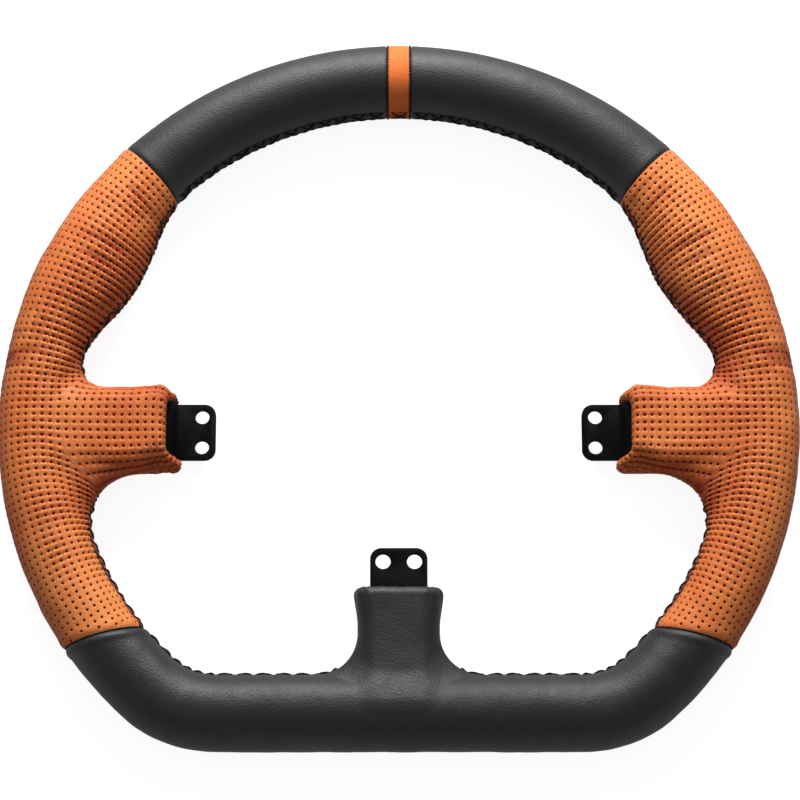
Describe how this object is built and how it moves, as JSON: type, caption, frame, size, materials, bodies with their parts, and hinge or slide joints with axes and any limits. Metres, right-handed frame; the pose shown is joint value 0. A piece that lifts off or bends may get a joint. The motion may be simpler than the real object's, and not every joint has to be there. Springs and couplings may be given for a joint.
{
  "type": "racing wheel rim",
  "caption": "Flat-bottomed leather-wrapped racing wheel rim with swollen perforated grips and drilled spoke tabs for bolting to a hub.",
  "frame": {"origin": "hub centre: the centre of the four side tab holes, on the tabs' back faces", "axes": "+Z out of the front of the wheel towards the driver, +Y to twelve o'clock, +X to the driver's right"},
  "size_m": [0.3, 0.2738, 0.0312],
  "materials": {
    "perforated_leather": "satin orange leather with a square grid of fine perforations",
    "stripe_leather": "satin orange leather, plain",
    "black_leather": "satin black leather with a fine grain",
    "black_thread": "waxed black sewing thread",
    "black_steel": "satin black powder coat",
    "bare_steel": "bare drawn steel",
    "black_foam": "moulded polyurethane foam"
  },
  "bodies": {
    "root": {"bottom_leather": "black_leather", "bottom_left_lacing": "black_thread", "bottom_right_lacing": "black_thread", "bottom_sleeve_closing_thread": "black_thread", "bottom_spoke_plate": "black_steel", "centre_stripe_leather": "stripe_leather", "foam_core": "black_foam", "left_grip_leather": "perforated_leather", "left_lower_lacing": "black_thread", "left_sleeve_closing_thread": "black_thread", "left_spoke_plate": "black_steel", "left_upper_lacing": "black_thread", "lower_left_seam_thread": "black_thread", "lower_right_seam_thread": "black_thread", "right_grip_leather": "perforated_leather", "right_lower_lacing": "black_thread", "right_sleeve_closing_thread": "black_thread", "right_spoke_plate": "black_steel", "right_upper_lacing": "black_thread", "rim_ring_tube": "bare_steel", "spoke_weld_beads": "bare_steel", "stripe_cross_stitch": "black_thread", "stripe_left_seam_thread": "black_thread", "stripe_right_seam_thread": "black_thread", "top_left_lacing": "black_thread", "top_left_leather": "black_leather", "top_right_lacing": "black_thread", "top_right_leather": "black_leather", "upper_left_seam_thread": "black_thread", "upper_right_seam_thread": "black_thread"}
  },
  "joints": []
}
